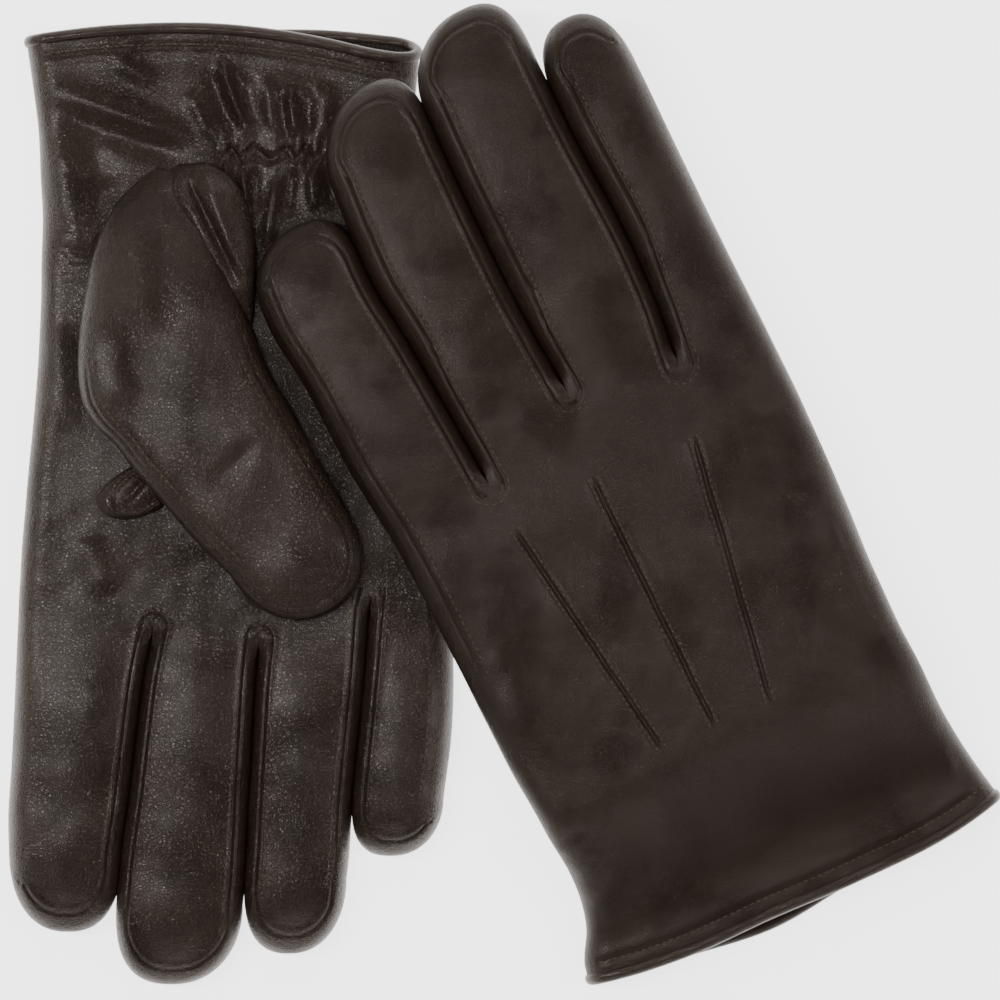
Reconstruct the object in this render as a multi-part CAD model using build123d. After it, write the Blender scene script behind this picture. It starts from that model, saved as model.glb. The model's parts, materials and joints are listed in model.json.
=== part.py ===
from build123d import *
import os
from math import cos, radians, sin, tan

# A pair of lined leather dress gloves as they lie at rest. The right glove lies palm up with its thumb folded
# over the palm. The left glove lies across it, back up, with its thumb folded underneath.
# Each glove is built in its own pattern frame: x across the hand towards the index finger, y along the
# fingers from the cuff, z up. It is then turned and moved to where it lies. Lengths are millimetres.

# Sheet materials
leather = 1.0  # nappa leather
lining = 0.8  # knitted lining, bonded to the leather
elastic = 0.5  # elastic tape, let into the lining's outer face
thread = 0.5  # width of a row of stitching
thread_depth = 0.4  # how far a row sinks into the leather
groove_play = 0.02  # between a sunk row and its groove
groove_out = 1.0  # how far a groove's cutter stands out of the face it cuts

# The laid glove
thickness = 12.0  # empty glove lying flat, outside
hand_length = 144.0  # cuff to the webs between the fingers
wrist_y = 42.0
lay_gap = 1.0  # air between the right palm and the left glove on it
level = thickness + lay_gap  # height of the left glove's underside
droop_start = 6.0  # the left cuff lies on the table up to here
droop_end = 44.0  # and from here on the left glove lies level

# Fingers
web_gap = 0.8  # between neighbouring fingers at the web
shoulder = 0.5  # how far the hand stands out past the outer fingers at the web
hinge_reach = 21.0  # web to the line where a finger bends
hinge_gap = 0.4  # across that line
fourchette = 5.5  # width of a side strip seen from above
seam_inset = 1.2  # stitching to the edge it holds
tip_bulge = 0.55  # a fingertip's rounding along its length, as a share of its width
tip_flatness = 0.9  # the most that a fingertip's height may be of its width

# Cuff
binding_length = 3.0
binding_fold = 0.6  # how much thicker than leather and lining the folded edge is
cuff_stitch_y = 4.6
elastic_y = (27.5, 32.5)
elastic_x = (-27.0, 6.0)

# Points: three pinched ridges on the back
point_start = 46.0
point_clear_of_web = 28.0
point_width = 1.6
point_height = 0.6
point_stitch_offset = 1.5
point_feet = (-14.9, -0.2, 15.5)  # x of each at the wrist end
point_heads = (-23.8, 0.1, 28.3)  # x of each at the knuckle end

# Side seam along the little finger's edge
side_seam_inset = 5.0

# Thumb, in its own frame: x across it from the edge that lies over the palm, y along it to the tip
thumb_thickness = 10.0
thumb_gap = 0.5  # between the thumb and the palm it lies on
thumb_place = (27.0, 129.5)  # in the glove: across it, and back from the webs
thumb_turn = 28.2
thumb_tip = 144.0
thumb_rows = [  # along, near edge, far edge, thickness as a share of the whole
    (26, -5.0, 16.0, 0.55),
    (34, -3.0, 27.0, 0.75),
    (44, -2.5, 35.0, 0.9),
    (54, -2.0, 42.0, 1.0),
    (68, -1.0, 47.3, 1.0),
    (82, 0.0, 44.3, 1.0),
    (98, 0.0, 41.0, 1.0),
    (115, 0.0, 37.2, 1.0),
    (127, 0.2, 32.6, 1.0),
]
left_thumb_start = (49, 4.0, 34.0, 0.6)  # the left thumb's base is tucked in from here
thumb_hole = (20.0, 62.0)  # middle of the hole in the palm, given in the same way
thumb_hole_radius = 11.0
thumb_hinge_point = (37.4, 78.2)  # on the right thumb's fold line, in the same way
thumb_hinge_lean = 10.3  # degrees from the glove's length
thumb_hinge_rise = 0.3  # height of that line over the palm
thumb_pivot = (34.0, 72.0)  # where the left thumb swings, in the same way
left_thumb_lay = 8.0  # degrees that the left thumb lies further out than the right
thumb_seam_inset = 2.5
quirk_place = (47.0, 92.0)  # in the thumb's frame
quirk_size = (14.0, 12.0)
quirk_height = 4.0

# One entry per glove. Fingers run index, middle, ring, little: width at the web, width near the tip, length
# from the web, lean towards the index side in degrees. The outline gives the hand's edges from cuff to web.
gloves = {
    "right": {
        "palm_up": True,
        "index_edge": 54.9,
        "fingers": [
            (34.4, 29.1, 89.0, 4.9),
            (27.9, 31.6, 102.7, 5.2),
            (27.2, 25.4, 94.7, 4.0),
            (22.0, 22.2, 69.2, 4.6),
        ],
        "cuff": (-50.4, 53.0),
        "above_cuff": (-48.6, 49.9),
        "wrist": (-47.2, 48.4),
        "heel": (-47.8, 48.6),
        "palm": (-51.0, 50.2),
        "knuckles": (-55.4, 52.7),
    },
    "left": {
        "palm_up": False,
        "index_edge": 57.6,
        "fingers": [
            (21.6, 21.8, 84.0, 0.4),
            (31.0, 30.0, 97.5, 0.8),
            (29.0, 27.8, 91.5, 0.6),
            (29.0, 28.2, 66.5, -2.0),
        ],
        "cuff": (-58.8, 58.4),
        "above_cuff": (-52.0, 55.6),
        "wrist": (-51.6, 54.8),
        "heel": (-52.5, 54.7),
        "palm": (-52.7, 56.4),
        "knuckles": (-53.2, 57.2),
    },
}
fourchette_sides = {"index": ["low"], "middle": ["low", "high"], "ring": ["low", "high"], "little": ["high"]}

# Where each glove lies: its turn, and the place of its frame at the webs for the right glove. The left one is
# placed by its little fingertip. Both stay clear of the right thumb whatever the gloves' lengths.
right_turn = 180.0
right_webs = (-72.3, -24.4)
left_turn = 26.5
left_little_tip = (-56.6, 69.6)
left_little_tip_x = -42.0


def along(start, end, share):
    return start + (end - start) * share


def smooth(share):
    share = min(max(share, 0), 1)
    return share * share * (3 - 2 * share)


def section(y, low, high, middle_z, height):
    """A stadium across the glove at y: flat above and below, round at both sides."""
    plane = Plane(origin=(0, y, 0), x_dir=(1, 0, 0), z_dir=(0, -1, 0))
    return plane * Pos((low + high) / 2, middle_z) * SlotOverall(high - low, height)


def tube(rows, inset, open_start=0.0):
    """A closed ruled body through rows of (y, low, high, middle z, height), taken in by inset all round. Its
    start is carried back by open_start, so that it cuts clean through the body around it."""
    shrunk = []
    for index, (y, low, high, middle_z, height) in enumerate(rows):
        if index == 0:
            y -= open_start
        if index == len(rows) - 1:
            y -= inset
        shrunk.append(section(y, low + inset, high - inset, middle_z, height - 2 * inset))
    return loft(shrunk, ruled=True)


def tip_rows(row, tip_y, bulge):
    """Rows that round off a finger's end past row. A row that narrows past its height is flattened as well."""
    y, low, high, middle_z, height = row
    middle, width = (low + high) / 2, high - low
    rows = []
    for angle in (30, 55, 75):
        half = width / 2 * cos(radians(angle)) ** 0.8
        row_y = tip_y - bulge * (1 - sin(radians(angle))) / (1 - sin(radians(30))) * 0.5
        flat = min(height * (0.45 + 0.55 * cos(radians(angle))), 2 * half * tip_flatness)
        rows.append((row_y, middle - half, middle + half, middle_z, flat))
    rows[-1] = (tip_y, *rows[-1][1:])
    return rows


def slab(low, high):
    """A box between two corners."""
    size = [b - a for a, b in zip(low, high)]
    return Pos(*low) * Box(*size, align=(Align.MIN, Align.MIN, Align.MIN))


def ribbon(points, width, z_low, z_high):
    """A strip of the given width along points that run mostly in y."""
    half = width / 2
    outline = [(x - half, y) for x, y in points] + [(x + half, y) for x, y in reversed(points)]
    face = make_face(Polyline(*outline, close=True))
    return Pos(0, 0, z_low) * extrude(face, z_high - z_low)


def solids_of(shape):
    """A node's solids, joined only if there are several."""
    found = list(shape.solids())
    return found[0] if len(found) == 1 else Compound(children=found)


def hand_rows(side):
    """The hand's rows from cuff to web, with the left cuff drooping to the table."""
    glove = gloves[side]
    fingers_width = sum(width for width, *_ in glove["fingers"]) + 3 * web_gap
    web_low, web_high = glove["index_edge"] - fingers_width - shoulder, glove["index_edge"] + shoulder
    between = hand_length - wrist_y
    knots = [
        (0.0, *glove["cuff"]),
        (wrist_y * 0.42, *glove["above_cuff"]),
        (wrist_y, *glove["wrist"]),
        (wrist_y + between * 0.2, *glove["heel"]),
        (wrist_y + between * 0.51, *glove["palm"]),
        (wrist_y + between * 0.76, *glove["knuckles"]),
        (hand_length, web_low, web_high),
    ]
    if side == "left":
        steps = [along(droop_start, droop_end, share) for share in (0, 0.25, 0.5, 0.75, 1)]
    else:
        steps = []
    rows = []
    for y in sorted({knot[0] for knot in knots} | set(steps)):
        before = max(index for index, knot in enumerate(knots[:-1]) if knot[0] <= y)
        a, b = knots[before], knots[before + 1]
        share = (y - a[0]) / (b[0] - a[0])
        rows.append((y, along(a[1], b[1], share), along(a[2], b[2], share), middle_height(side, y), thickness))
    return rows


def middle_height(side, y):
    """Height of the glove's middle layer above the table."""
    if side == "right":
        return thickness / 2
    return thickness / 2 + level * smooth((y - droop_start) / (droop_end - droop_start))


def finger_layout(side):
    """Each finger's place at the web: name, middle x, widths, length and lean."""
    glove = gloves[side]
    edge = glove["index_edge"]
    found = []
    for name, (width, tip_width, length, lean) in zip(fourchette_sides, glove["fingers"]):
        found.append({"name": name, "x": edge - width / 2, "width": width, "tip_width": tip_width,
                      "length": length, "lean": lean})
        edge -= width + web_gap
    return found


def finger_rows(side, finger):
    """A finger's rows from the web to its tip."""
    bulge = finger["tip_width"] * tip_bulge
    straight = finger["length"] - bulge
    slope = tan(radians(finger["lean"]))
    middle_z = middle_height(side, hand_length)
    rows = []
    for share in (0, 0.5, 1):
        y = hand_length + straight * share
        middle = finger["x"] + slope * straight * share
        half = along(finger["width"], finger["tip_width"], share) / 2
        rows.append((y, middle - half, middle + half, middle_z, thickness))
    return rows + tip_rows(rows[-1], hand_length + finger["length"], bulge)


def finger_hinge(side, finger):
    """Where a finger bends: a point on its centre line, at the face that stays short."""
    x = finger["x"] + tan(radians(finger["lean"])) * hinge_reach
    return x, hand_length + hinge_reach, middle_height(side, hand_length) + thickness / 2


def past_hinge(side, finger, gap):
    """A large box over everything on the finger's side of its bending line."""
    x, y, z = finger_hinge(side, finger)
    box = Box(200, 200, 200, align=(Align.CENTER, Align.MIN, Align.CENTER))
    return Pos(x, y, z) * Rot(0, 0, -finger["lean"]) * Pos(0, gap, 0) * box


def edge_line(rows, which, inset):
    """Points along a finger's straight part, inset from its low or high edge, from its hinge line on."""
    start, end = rows[0], rows[2]
    column, turn = (1, 1) if which == "low" else (2, -1)
    first = (hinge_reach + 2.5) / (end[0] - start[0])
    return [(along(start[column], end[column], share) + turn * inset, along(start[0], end[0], share))
            for share in (first, 0.97)]


def sunk_row(points, width, face_z, into, depth, proud=0.0):
    """A strip let into a level face at face_z, and the groove that takes it. into is -1 where the body lies
    below the face and 1 where it lies above."""
    def between(width, z_in, z_out):
        return ribbon(points, width, min(z_in, z_out), max(z_in, z_out))

    z_in = face_z + into * depth
    strip = between(width, z_in, face_z - into * proud)
    groove = between(width + 2 * groove_play, z_in + into * groove_play, face_z - into * groove_out)
    return strip, groove


def cut(body, rows):
    """The body without the grooves of these rows, and the strips that fill them."""
    for _, groove in rows:
        body = body - groove
    return body, Compound(children=[strip for strip, _ in rows])


def side_strip_prism(rows, finger, which, bottom):
    """Everything beyond the line where a finger's flat leather meets its side strip."""
    far = 60 if which == "high" else -60
    column, turn = (1, 1) if which == "low" else (2, -1)
    end_y = hand_length + finger["length"] - finger["tip_width"] * 0.4
    share = (end_y - rows[0][0]) / (rows[2][0] - rows[0][0])
    near = (rows[0][column] + turn * fourchette, rows[0][0])
    distant = (along(rows[0][column], rows[2][column], share) + turn * fourchette, end_y)
    outline = Polyline(near, distant, (distant[0] + far, end_y), (near[0] + far, near[1]), close=True)
    return Pos(0, 0, bottom - 1) * extrude(make_face(outline), thickness + 2)


def finger_nodes(side, finger):
    """A finger past its bending line: leather, side strips, stitching and lining."""
    rows = finger_rows(side, finger)
    beyond = past_hinge(side, finger, hinge_gap)
    outer, inner, innermost = tube(rows, 0), tube(rows, leather, 2), tube(rows, leather + lining, 4)
    wall = (outer - inner) & beyond
    bottom, top = rows[0][3] - thickness / 2, rows[0][3] + thickness / 2
    strips, stitches = [], []
    for which in fourchette_sides[finger["name"]]:
        prism = side_strip_prism(rows, finger, which, bottom)
        strips.append(wall & prism)
        wall = wall - prism
        line = edge_line(rows, which, fourchette + seam_inset)
        stitches.append(sunk_row(line, thread, top, -1, thread_depth))
        stitches.append(sunk_row(line, thread, bottom, 1, thread_depth))
    wall, stitching = cut(wall, stitches)
    name = f"{side}_{finger['name']}"
    return {
        f"{name}_leather": wall,
        f"{name}_fourchettes" if len(strips) > 1 else f"{name}_fourchette": Compound(children=strips),
        f"{name}_stitching": stitching,
        f"{name}_lining": (inner & beyond) - innermost,
    }


def palm_face(side):
    """Heights of the palm's outer face and of the back's, clear of the droop."""
    low = middle_height(side, hand_length) - thickness / 2
    high = low + thickness
    return (high, low) if gloves[side]["palm_up"] else (low, high)


def before_web(place):
    """A place on the hand, given as across it and back from the webs, in the glove's frame."""
    return place[0], hand_length - place[1]


def thumb_frame(side):
    """Where the thumb's own frame lies in the glove's."""
    own = Pos(*before_web(thumb_place), 0) * Rot(0, 0, thumb_turn)
    if side == "right":
        return own
    x, y = before_web(thumb_pivot)
    return Pos(x, y, 0) * Rot(0, 0, -left_thumb_lay) * Pos(-x, -y, 0) * own


def thumb_bottom(side):
    """Height of the thumb's underside: on the right palm, and on the table under the left one."""
    return thickness + thumb_gap if side == "right" else 0.0


def thumb_nodes(side):
    """The folded thumb: leather, quirk gusset, stitching and lining, with a hole towards the palm."""
    place, bottom = thumb_frame(side), thumb_bottom(side)
    top = bottom + thumb_thickness
    chosen = thumb_rows
    if side == "left":
        chosen = [left_thumb_start] + [row for row in thumb_rows if row[0] > left_thumb_start[0] + 2]
    middle_z = (bottom + top) / 2
    rows = [(y, low, high, middle_z, thumb_thickness * share) for y, low, high, share in chosen]
    rows += tip_rows(rows[-1], thumb_tip, thumb_tip - rows[-1][0])
    outer, inner = tube(rows, 0), tube(rows, leather, -leather)
    innermost = tube(rows, leather + lining, -leather - lining)
    palm_side, far_side, into = (bottom, top, -1) if side == "right" else (top, bottom, 1)
    hole = Pos(*before_web(thumb_hole), palm_side) * Cylinder(thumb_hole_radius, 2 * (leather + lining) + 1)
    seam = [(high - thumb_seam_inset, y) for y, _, high, share in chosen if share == 1.0]
    wall, stitching = cut(outer - inner, [sunk_row(seam, thread, far_side, into, thread_depth)])
    quirk_z = bottom if side == "right" else top - quirk_height
    pad = Pos(*quirk_place, quirk_z) * extrude(Ellipse(quirk_size[0] / 2, quirk_size[1] / 2), quirk_height)
    return {
        f"{side}_thumb_leather": place * wall - hole,
        f"{side}_thumb_quirk": place * (pad - outer),
        f"{side}_thumb_stitching": place * stitching,
        f"{side}_thumb_lining": place * (inner - innermost) - hole,
    }


def cavity(side, inset, start, past):
    """The space inside the hand and its four finger roots, at this depth below the outer face. Each root ends
    this far past its bending line."""
    space = tube(hand_rows(side), inset, start)
    for finger in finger_layout(side):
        root = tube(finger_rows(side, finger), inset, inset + 2 if inset else 0)
        space = space + (root - past_hinge(side, finger, past))
    return space


def back_points(side, back_z, into):
    """The three raised points and the rows of stitching either side of them, with their grooves."""
    heads_y = hand_length - point_clear_of_web
    proud = point_height if side == "left" else 0.0
    points, rows = [], []
    for foot, head in zip(point_feet, point_heads):
        ends = [(foot, point_start), (head, heads_y)]
        points.append(sunk_row(ends, point_width, back_z, into, thread_depth, proud))
        for offset in (-point_stitch_offset, point_stitch_offset):
            beside = [(x + offset, y) for x, y in ends]
            rows.append(sunk_row(beside, thread, back_z, into, thread_depth))
    return points, rows


def side_seam_row(side):
    """The row of stitching along the little finger's edge, on the face that shows."""
    top = middle_height(side, hand_length) + thickness / 2
    seam = [(low + side_seam_inset, y) for y, low, *_ in hand_rows(side) if y >= max(wrist_y, droop_end)]
    return sunk_row(seam, thread, top, -1, thread_depth)


def cuff_rows(side):
    """The rows of stitching behind the binding, one on each face."""
    _, low, high, *_ = hand_rows(side)[0]
    line = [((low + high) / 2, cuff_stitch_y), ((low + high) / 2, cuff_stitch_y + thread)]
    width = high - low - thickness - 2
    return [sunk_row(line, width, 0, 1, thread_depth), sunk_row(line, width, thickness, -1, thread_depth)]


def elastic_tape(side):
    """The elastic tape across the palm side of the wrist, in the outer part of the lining's wall."""
    rows = hand_rows(side)
    layer = tube(rows, leather, 2) - tube(rows, leather + elastic, 2)
    middle_z = middle_height(side, elastic_y[0])
    z_low = middle_z if gloves[side]["palm_up"] else middle_z - thickness
    return layer & slab((elastic_x[0], elastic_y[0], z_low), (elastic_x[1], elastic_y[1], z_low + thickness))


def cuff_binding(side):
    """The folded strip that ends the cuff, a little thicker inwards than what it holds."""
    edge = hand_rows(side)[0][1:]
    ring = tube([(-binding_length, *edge), (0.0, *edge)], 0)
    inset = leather + lining + binding_fold
    return ring - tube([(-binding_length - 1, *edge), (inset + 1, *edge)], inset)


def hand_nodes(side):
    """The hand from the cuff to the fingers' bending lines, with everything sewn to it."""
    palm_z, back_z = palm_face(side)
    into_back = 1 if gloves[side]["palm_up"] else -1
    hollow = leather + lining
    hole = Pos(*before_web(thumb_hole), palm_z) * Cylinder(thumb_hole_radius, 2 * hollow + 1)
    points, point_stitches = back_points(side, back_z, into_back)
    seam, cuff = side_seam_row(side), cuff_rows(side)
    tape = elastic_tape(side)

    shell = cavity(side, 0, 0, 0) - cavity(side, leather, 2, 1) - hole
    shell, _ = cut(shell, points + point_stitches + cuff + [seam])
    lining_body = cavity(side, leather, 2, 0) & slab((-90, 0, -1), (90, 300, 60))
    return {
        f"{side}_hand_leather": shell,
        f"{side}_hand_lining": lining_body - cavity(side, hollow, 2, 1) - tape - hole,
        f"{side}_wrist_elastic": tape,
        f"{side}_cuff_binding": cuff_binding(side),
        f"{side}_cuff_stitching": Compound(children=[strip for strip, _ in cuff]),
        f"{side}_side_seam": seam[0],
        f"{side}_back_points": Compound(children=[strip for strip, _ in points]),
        f"{side}_point_stitching": Compound(children=[strip for strip, _ in point_stitches]),
    }


def place_of(side):
    """Where a glove's frame lies before the pair is centred."""
    if side == "right":
        return Pos(*right_webs, 0) * Rot(0, 0, right_turn) * Pos(0, -hand_length, 0)
    tip_y = hand_length + gloves["left"]["fingers"][3][2]
    turned = Rot(0, 0, left_turn)
    return Pos(*left_little_tip, 0) * turned * Pos(-left_little_tip_x, -tip_y, 0)


def placed_axis(frame, point, angle):
    """A point of a glove and a direction in its plane, carried to where the glove lies."""
    start = frame * Pos(*point)
    end = start * Pos(cos(radians(angle)), sin(radians(angle)), 0)
    return start.position, end.position - start.position


def joint_places(centred):
    """Each joint's point, with the direction of its axis, in the pair's own frame."""
    found = {}
    for side in gloves:
        frame = centred * place_of(side)
        for finger in finger_layout(side):
            found[f"{side}_{finger['name']}"] = placed_axis(frame, finger_hinge(side, finger), -finger["lean"])
    fold = (*before_web(thumb_hinge_point), thickness + thumb_hinge_rise)
    found["right_thumb"] = placed_axis(centred * place_of("right"), fold, 90 - thumb_hinge_lean)
    pivot = (*before_web(thumb_pivot), thumb_thickness / 2)
    found["left_thumb"] = ((centred * place_of("left") * Pos(*pivot)).position, Vector(0, 0, -1))
    return found


def build_pair():
    """Every node in place, with the pair's box centred on the origin and standing on z = 0."""
    nodes = {}
    for side in gloves:
        local = hand_nodes(side)
        for finger in finger_layout(side):
            local |= finger_nodes(side, finger)
        local |= thumb_nodes(side)
        for name, shape in local.items():
            nodes[name] = place_of(side) * solids_of(shape)
    boxes = [shape.bounding_box() for shape in nodes.values()]
    middle_x = (min(box.min.X for box in boxes) + max(box.max.X for box in boxes)) / 2
    middle_y = (min(box.min.Y for box in boxes) + max(box.max.Y for box in boxes)) / 2
    centred = Pos(-middle_x, -middle_y, 0)
    return {name: centred * shape for name, shape in nodes.items()}, centred


if __name__ == "__main__":
    os.makedirs("parts", exist_ok=True)
    pair, centring = build_pair()
    for name, shape in pair.items():
        export_step(shape, f"parts/{name}.step")
        print(name, round(shape.volume, 1))
    for name, (point, axis) in joint_places(centring).items():
        print("joint", name, tuple(point), tuple(axis))
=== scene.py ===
import json
from math import cos, pi, radians, sin

import bpy
import numpy as np
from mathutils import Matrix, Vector


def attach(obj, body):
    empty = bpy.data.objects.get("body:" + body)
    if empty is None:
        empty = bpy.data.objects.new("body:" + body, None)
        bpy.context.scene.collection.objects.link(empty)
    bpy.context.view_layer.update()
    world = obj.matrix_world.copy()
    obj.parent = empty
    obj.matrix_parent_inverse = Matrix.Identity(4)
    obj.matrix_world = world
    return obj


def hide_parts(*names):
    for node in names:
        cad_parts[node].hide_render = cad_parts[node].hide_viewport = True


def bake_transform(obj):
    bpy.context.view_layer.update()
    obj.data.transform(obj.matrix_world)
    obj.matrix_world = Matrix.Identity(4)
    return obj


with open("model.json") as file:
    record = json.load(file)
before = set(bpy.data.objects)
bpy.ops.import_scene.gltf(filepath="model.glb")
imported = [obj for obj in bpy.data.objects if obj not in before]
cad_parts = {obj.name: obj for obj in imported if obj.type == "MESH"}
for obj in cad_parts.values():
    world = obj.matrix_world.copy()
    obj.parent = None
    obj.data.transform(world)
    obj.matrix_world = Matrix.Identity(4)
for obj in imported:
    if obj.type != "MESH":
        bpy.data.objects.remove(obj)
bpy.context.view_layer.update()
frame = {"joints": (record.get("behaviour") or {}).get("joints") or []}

# A pair of leather dress gloves. Each glove is worked out in its own frame, in millimetres: u across the hand
# towards the index finger, v from the cuff towards the fingers, z up. Every mesh is carried to the table last.
mm = 0.001
gloveHeight = 12.0
layLevel = 13.0
wall = 1.0
liningWall = 0.8
tableClear = 0.05  # over the table, where a piece is pressed flat on it
hingeAt = 165.0
seamIn = {"right": 3.3, "left": 3.4}  # from a slot, or from a fingertip's edge, to the seam
wideSeam = 4.8  # on the left glove's fingers, the side strips show more on the side by the little finger
stitchIn = 1.7  # from the seam on to its row of stitches
slotGap = -0.3  # side strips press together at rest
fingerNames = ["little", "ring", "middle", "index"]

gloves = {
    "right": {
        "turn": 180.0, "indexHinge": 39.5, "split": 143.0,
        "low": [(0, -50.2), (18, -48.6), (42, -47.2), (62, -47.8), (94, -51), (120, -55.2), (145, -57.9),
                (166, -59.1), (182, -58.5), (198, -56.5), (216, -54.5)],
        "high": [(0, 52.4), (18, 49.9), (42, 48.4), (65, 48.6), (88, 49.7), (112, 51.7), (135, 53.8), (158, 54.9),
                 (174, 55.6), (190, 56.4), (203, 57.2), (215, 56.9), (234, 56.6)],
        "slots": [
            [(140, -38.6), (145, -37.7), (166, -35.8), (182, -34.2), (198, -32.6), (215, -31.5), (230, -29.4),
             (240, -28.3)],
            [(140, -9.8), (156, -8.6), (166, -7.6), (182, -6.6), (198, -5.7), (215, -4.8), (230, -3.6), (248, -2)],
            [(140, 16.0), (153, 18.9), (166, 21.6), (182, 23.7), (198, 25.6), (215, 28.0), (230, 29.2), (248, 30)],
        ],
        "forks": [145.0, 156.5, 153.4],
        "tips": {"little": (198, 213.2, -42.4), "ring": (219, 238.7, -15.9), "middle": (226, 246.7, 14.8),
                 "index": (211, 233.0, 41.6)},
        "cuffTop": [(-52, 5.4), (-38, 3.4), (-25, 0.5), (0, -3.0), (30, -2.7), (53, 0.0)],
        "cuffUnder": [(-52, 0.4), (-25, -2.2), (0, -2.2), (30, -2.2), (53, 0.0)],
    },
    "left": {
        "turn": 26.5, "indexHinge": 46.95, "split": 125.0,
        "low": [(0, -59.0), (3.7, -58.2), (13.7, -53.2), (28, -50.8), (41, -51.6), (60, -52.5), (91, -52.7),
                (119, -52.9), (147, -55.3), (173, -56.0), (188, -57.4), (200, -56.5), (212, -54)],
        "high": [(0, 58.3), (17.6, 55.4), (42, 54.6), (56, 54.6), (89, 56.7), (132, 57.8), (155, 57.7), (183, 58.0),
                 (209, 58.4), (228, 58.2)],
        "slots": [
            [(122, -24.4), (127.5, -24.5), (150, -25.5), (173, -27.0), (185, -28.2), (200, -27.8), (215, -26.5),
             (236, -24)],
            [(122, 5.2), (140, 4.3), (155, 3.4), (169, 2.9), (188, 2.9), (215, 3.6), (243, 5)],
            [(122, 32.2), (133.6, 33.2), (150, 35.3), (164, 36.1), (200, 35.4), (225, 35.6), (243, 35.8)],
        ],
        "forks": [127.5, 140.0, 133.6],
        "tips": {"little": (193, 210.0, -39.5), "ring": (213, 234.5, -6.5), "middle": (221, 241.0, 23.5),
                 "index": (209, 227.0, 47.0)},
        "cuffTop": [(-59, -0.4), (-45, -3.2), (-32, -4.8), (-9, -5.6), (15, -7.0), (44, -6.8), (58, -4.6)],
        "cuffUnder": [(-59, -0.4), (-45, -3.2), (-32, -5.6), (-10, -8.9), (15, -7.3), (44, -6.8), (58, -4.6)],
    },
}

# Folds: from, to, half-width and height. Pinched by the elastic, and pulled towards the thumb.
folds = {
    "right": [
        (2.0, 4.5, -5.0, 25.0, 1.5, 1.3), (5.5, 7.0, -1.5, 25.0, 1.8, -0.7), (-4.0, 8.0, -8.5, 25.5, 2.2, -0.6),
        (-10.5, 9.0, -12.5, 26.0, 1.8, 0.6), (-16.4, 12.0, -17.9, 27.0, 1.5, 1.2),
        (-20.5, 12.0, -21.5, 26.0, 1.9, -0.7), (-14.0, 14.0, -15.0, 26.5, 1.5, -0.5),
        (-26.0, 11.0, -25.0, 27.0, 2.2, 0.7), (10.0, 13.0, 3.5, 27.5, 1.9, 0.5), (-4.2, 33.5, -5.4, 47.0, 1.2, 0.9),
        (-7.5, 33.0, -7.6, 46.0, 1.4, -0.7), (-13.3, 34.5, -10.0, 56.0, 1.5, 1.2),
        (-17.5, 33.0, -15.5, 47.0, 1.9, -0.8), (-21.5, 33.0, -23.0, 46.0, 1.6, 1.0),
        (-26.0, 32.5, -28.0, 45.0, 1.8, -0.5), (0.0, 33.5, -1.2, 42.0, 1.4, 0.6), (49.0, 12.0, 6.0, 28.0, 3.4, 0.9),
        (46.0, 20.0, 8.0, 31.5, 3.2, -0.7), (43.5, 24.0, 37.0, 62.0, 4.2, 1.0), (36.0, 24.0, 31.0, 40.0, 3.5, -0.5),
        (44.0, 72.0, 42.5, 104.0, 4.0, 0.5), (30.0, 5.0, 18.0, 12.5, 2.4, 0.5),
        (38.0, 128.0, 30.0, 146.0, 4.0, 0.5), (-8.0, 122.0, -6.0, 150.0, 4.5, 0.4),
    ],
    "left": [
        (-51.0, 18.0, -36.0, 24.0, 2.4, 0.5), (-51.5, 27.0, -40.0, 31.0, 2.0, 0.4),
        (-52.0, 36.0, -41.0, 37.0, 1.8, -0.4), (44.0, 20.0, 30.0, 42.0, 4.0, 0.6),
        (50.0, 34.0, 34.0, 60.0, 4.2, -0.5), (20.0, 12.0, 14.0, 38.0, 4.5, 0.4),
        (-20.0, 16.0, -24.0, 42.0, 4.0, 0.4), (52.0, 70.0, 46.0, 104.0, 4.0, 0.5),
        (-44.0, 60.0, -42.0, 96.0, 4.5, 0.4),
    ],
}

gather = {  # where the elastic pulls the right glove's wrist together
    "from": 4.0, "to": -27.0, "row": 30.4, "pitch": 6.3, "swing": 1.3,
    "pinch": 1.1, "pinchWidth": 1.2, "pocket": 0.55, "pocketWidth": 7.0,
}
points = {
    "feet": [(-14.9, 46.5), (-0.2, 46.0), (15.5, 44.8)], "heads": [(-23.8, 115.0), (0.1, 117.9), (28.3, 115.8)],
    "halfWidth": 0.52, "height": 0.5, "stitchOff": 1.15, "pitch": 1.7, "stitchLength": 1.15,
    "swell": 0.3, "swellWidth": 2.2, "groove": 0.34, "grooveWidth": 0.4,
}
edgeSeam = {"in": 4.6, "stitchOff": 1.7, "from": {"left": 88, "right": 60}}  # along the little finger's edge
cuffRow = {"in": 5.1, "fromSides": 2.2, "dip": 0.35, "dipWidth": 0.7, "rise": 0.22, "riseWidth": 1.4}


def smooth(share):
    # 0 to 1 with a level start and end: 3t^2 - 2t^3.
    share = np.clip(share, 0.0, 1.0)
    return share * share * (3.0 - 2.0 * share)


def curve(at, knots):
    # A cubic through the knots, its slope at each taken from the knots either side.
    x, y = np.array(knots, float).T
    slope = np.gradient(y, x)
    at = np.clip(np.asarray(at, float), x[0], x[-1])
    i = np.clip(np.searchsorted(x, at) - 1, 0, len(x) - 2)
    width = x[i + 1] - x[i]
    t = (at - x[i]) / width
    rise = (2 * t**3 - 3 * t**2 + 1) * y[i] + (t**3 - 2 * t**2 + t) * width * slope[i]
    return rise + (3 * t**2 - 2 * t**3) * y[i + 1] + (t**3 - t**2) * width * slope[i + 1]


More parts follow.
